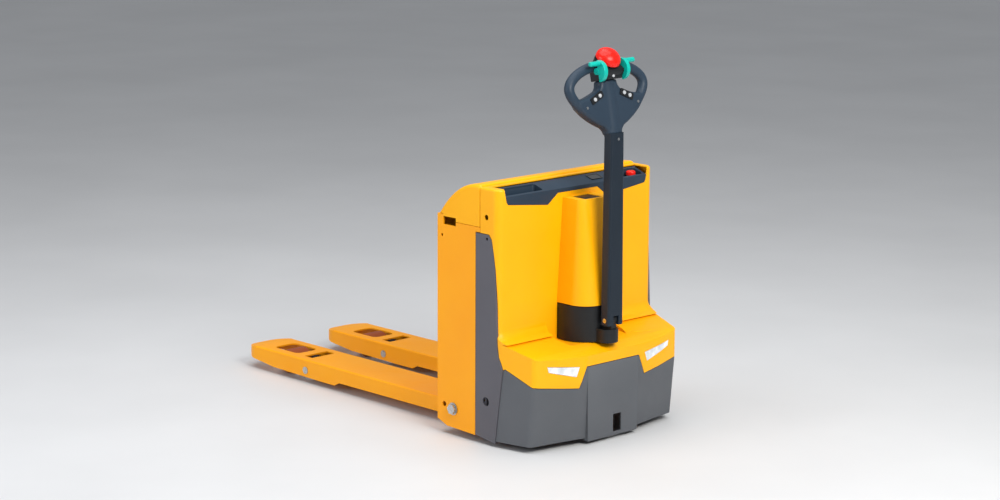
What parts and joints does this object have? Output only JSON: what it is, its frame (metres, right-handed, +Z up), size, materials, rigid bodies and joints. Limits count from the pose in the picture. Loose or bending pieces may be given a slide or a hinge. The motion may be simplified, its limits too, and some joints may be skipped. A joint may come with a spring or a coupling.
{
  "type": "electric pallet truck",
  "caption": "Pedestrian electric pallet truck: lifting forks on a battery carriage, tall narrow motor hood, grey skirt and a steering tiller with a ring-shaped control head.",
  "frame": {"origin": "on the floor, under the middle of the truck's overall box with the forks lowered", "axes": "+X towards the tiller end, the forks reach towards -X; +Z up; +Y completes the right-handed frame"},
  "size_m": [1.6213, 0.7442, 1.2919],
  "materials": {
    "yellow_steel": "satin powder coat",
    "yellow_cover": "satin moulded cover",
    "grey_steel": "satin powder coat",
    "grey_cover": "fine grained moulding",
    "dark_cover": "fine grained moulding",
    "dark_pole": "satin powder coat",
    "black_steel": "satin",
    "black_plastic": "matt",
    "grip_grey": "soft grip",
    "zinc_steel": "zinc plated",
    "cast_grey": "as cast, painted",
    "roller_pu": "cast polyurethane",
    "tyre_black": "moulded",
    "castor_pu": "moulded",
    "lens": "clear over white",
    "turquoise": "gloss",
    "signal_red": "gloss",
    "display_black": "gloss",
    "guide_nylon": "plain",
    "battery_case": "plain",
    "connector_red": "plain"
  },
  "bodies": {
    "chassis": {"chassis_frame": "grey_steel", "lift_cylinder": "black_steel", "front_skirt": "grey_cover", "motor_hood": "yellow_cover", "instrument_tray": "dark_cover", "display_unit": "display_black", "key_switch": "zinc_steel", "stop_base": "yellow_cover", "column_cover": "yellow_cover", "steering_bearing_outer": "zinc_steel", "pump_motor": "black_steel", "oil_tank": "black_plastic", "motor_controller": "black_plastic", "front_lights": "lens"},
    "carriage": {"left_fork": "yellow_steel", "right_fork": "yellow_steel", "rocker_pins": "zinc_steel", "battery_box": "yellow_steel", "battery": "battery_case", "battery_connector": "connector_red", "lid_hinge": "black_steel", "guide_pads": "guide_nylon", "lift_rod": "zinc_steel"},
    "lid": {"battery_lid": "yellow_cover"},
    "linkage": {"cross_shaft": "zinc_steel", "cranks": "cast_grey"},
    "push_rod_pair": {"push_rods": "zinc_steel"},
    "rocker_pair": {"rockers": "cast_grey", "roller_axles": "zinc_steel"},
    "left_roller": {"left_load_roller": "roller_pu"},
    "right_roller": {"right_load_roller": "roller_pu"},
    "steering": {"drive_motor": "black_steel", "gearbox": "cast_grey", "steering_bearing_inner": "zinc_steel", "wheel_axle": "zinc_steel", "tiller_bracket": "black_plastic", "tiller_pin": "zinc_steel"},
    "drive_wheel": {"wheel_hub": "cast_grey", "drive_tyre": "tyre_black"},
    "tiller": {"tiller_pole": "dark_pole", "head_front_shell": "dark_cover", "head_rear_shell": "dark_cover", "control_housing": "black_plastic", "grips": "grip_grey", "button_bases": "black_plastic", "head_screws": "zinc_steel"},
    "travel_control": {"control_wings": "turquoise", "control_shaft": "zinc_steel"},
    "belly": {"belly_switch": "signal_red"},
    "horn": {"horn_button": "signal_red"},
    "left_inner": {"left_inner_button": "signal_red"},
    "right_inner": {"right_inner_button": "signal_red"},
    "left_outer": {"left_outer_button": "turquoise"},
    "right_outer": {"right_outer_button": "turquoise"},
    "stop_button": {"emergency_stop": "signal_red"},
    "ignition_key": {"key": "zinc_steel"},
    "left_castor": {"left_castor_fork": "zinc_steel"},
    "right_castor": {"right_castor_fork": "zinc_steel"},
    "left_castor_roll": {"left_castor_wheel": "castor_pu"},
    "right_castor_roll": {"right_castor_wheel": "castor_pu"}
  },
  "joints": [
    {"name": "lift", "type": "slide", "parent": "chassis", "child": "carriage", "axis": [0, 0, 1], "range_m": [0, 0.122]},
    {"name": "crank_turn", "type": "hinge", "parent": "carriage", "child": "linkage", "pos_m": [0.417, 0, 0.09214], "axis": [0, 1, 0], "range_deg": [0, 55.98]},
    {"name": "rod_push", "type": "slide", "parent": "carriage", "child": "push_rod_pair", "axis": [-1, 0, 0], "range_m": [0, 0.02079]},
    {"name": "rocker_turn", "type": "hinge", "parent": "carriage", "child": "rocker_pair", "pos_m": [-0.459, 0, 0.046], "axis": [0, -1, 0], "range_deg": [0, 51.31]},
    {"name": "lid_hinge", "type": "hinge", "parent": "carriage", "child": "lid", "pos_m": [0.534, 0, 0.848], "axis": [0, 1, 0], "range_deg": [0, 70]},
    {"name": "steering", "type": "hinge", "parent": "chassis", "child": "steering", "pos_m": [0.665, 0, 0.26], "axis": [0, 0, 1], "range_deg": [-90, 90]},
    {"name": "drive_wheel_spin", "type": "hinge", "parent": "steering", "child": "drive_wheel", "pos_m": [0.665, 0, 0.115], "axis": [0, 1, 0], "continuous": true},
    {"name": "tiller_tilt", "type": "hinge", "parent": "steering", "child": "tiller", "pos_m": [0.79, 0, 0.402], "axis": [0, 1, 0], "range_deg": [0, 75], "stiffness_Nm_per_rad": 30, "springref_deg": -28.65},
    {"name": "right_roller_spin", "type": "hinge", "parent": "rocker_pair", "child": "right_roller", "pos_m": [-0.617, -0.184, 0.0425], "axis": [0, 1, 0], "continuous": true},
    {"name": "right_castor_swivel", "type": "hinge", "parent": "chassis", "child": "right_castor", "pos_m": [0.673, -0.246, 0.15], "axis": [0, 0, 1], "continuous": true},
    {"name": "right_castor_spin", "type": "hinge", "parent": "right_castor", "child": "right_castor_roll", "pos_m": [0.643, -0.246, 0.05], "axis": [0, 1, 0], "continuous": true},
    {"name": "left_roller_spin", "type": "hinge", "parent": "rocker_pair", "child": "left_roller", "pos_m": [-0.617, 0.184, 0.0425], "axis": [0, 1, 0], "continuous": true},
    {"name": "left_castor_swivel", "type": "hinge", "parent": "chassis", "child": "left_castor", "pos_m": [0.673, 0.246, 0.15], "axis": [0, 0, 1], "continuous": true},
    {"name": "left_castor_spin", "type": "hinge", "parent": "left_castor", "child": "left_castor_roll", "pos_m": [0.643, 0.246, 0.05], "axis": [0, 1, 0], "continuous": true},
    {"name": "travel_turn", "type": "hinge", "parent": "tiller", "child": "travel_control", "pos_m": [0.76639, 0, 1.22009], "axis": [0, 1, 0], "range_deg": [-30, 30], "stiffness_Nm_per_rad": 2},
    {"name": "belly_press", "type": "slide", "parent": "tiller", "child": "belly", "axis": [-0.5373, 0, -0.8434], "range_m": [0, 0.006], "stiffness_N_per_m": 2000, "springref_m": -0.003},
    {"name": "left_inner_press", "type": "slide", "parent": "tiller", "child": "left_inner", "axis": [-0.9763, 0, -0.2164], "range_m": [0, 0.002], "stiffness_N_per_m": 500, "springref_m": -0.001},
    {"name": "left_outer_press", "type": "slide", "parent": "tiller", "child": "left_outer", "axis": [-0.9763, 0, -0.2164], "range_m": [0, 0.002], "stiffness_N_per_m": 500, "springref_m": -0.001},
    {"name": "right_inner_press", "type": "slide", "parent": "tiller", "child": "right_inner", "axis": [-0.9763, 0, -0.2164], "range_m": [0, 0.002], "stiffness_N_per_m": 500, "springref_m": -0.001},
    {"name": "right_outer_press", "type": "slide", "parent": "tiller", "child": "right_outer", "axis": [-0.9763, 0, -0.2164], "range_m": [0, 0.002], "stiffness_N_per_m": 500, "springref_m": -0.001},
    {"name": "horn_press", "type": "slide", "parent": "tiller", "child": "horn", "axis": [-0.9763, 0, -0.2164], "range_m": [0, 0.002], "stiffness_N_per_m": 500, "springref_m": -0.001},
    {"name": "stop_press", "type": "slide", "parent": "chassis", "child": "stop_button", "axis": [0, 0, -1], "range_m": [0, 0.005]},
    {"name": "key_turn", "type": "hinge", "parent": "chassis", "child": "ignition_key", "pos_m": [0.598, 0.184, 0.84], "axis": [0, 0, 1], "range_deg": [0, 90]}
  ],
  "couplings": [
    {"joint": "crank_turn", "follows": "lift", "rad_per_m": 8.0069},
    {"joint": "rod_push", "follows": "lift", "ratio": 0.17032},
    {"joint": "rocker_turn", "follows": "lift", "rad_per_m": 7.3393}
  ]
}
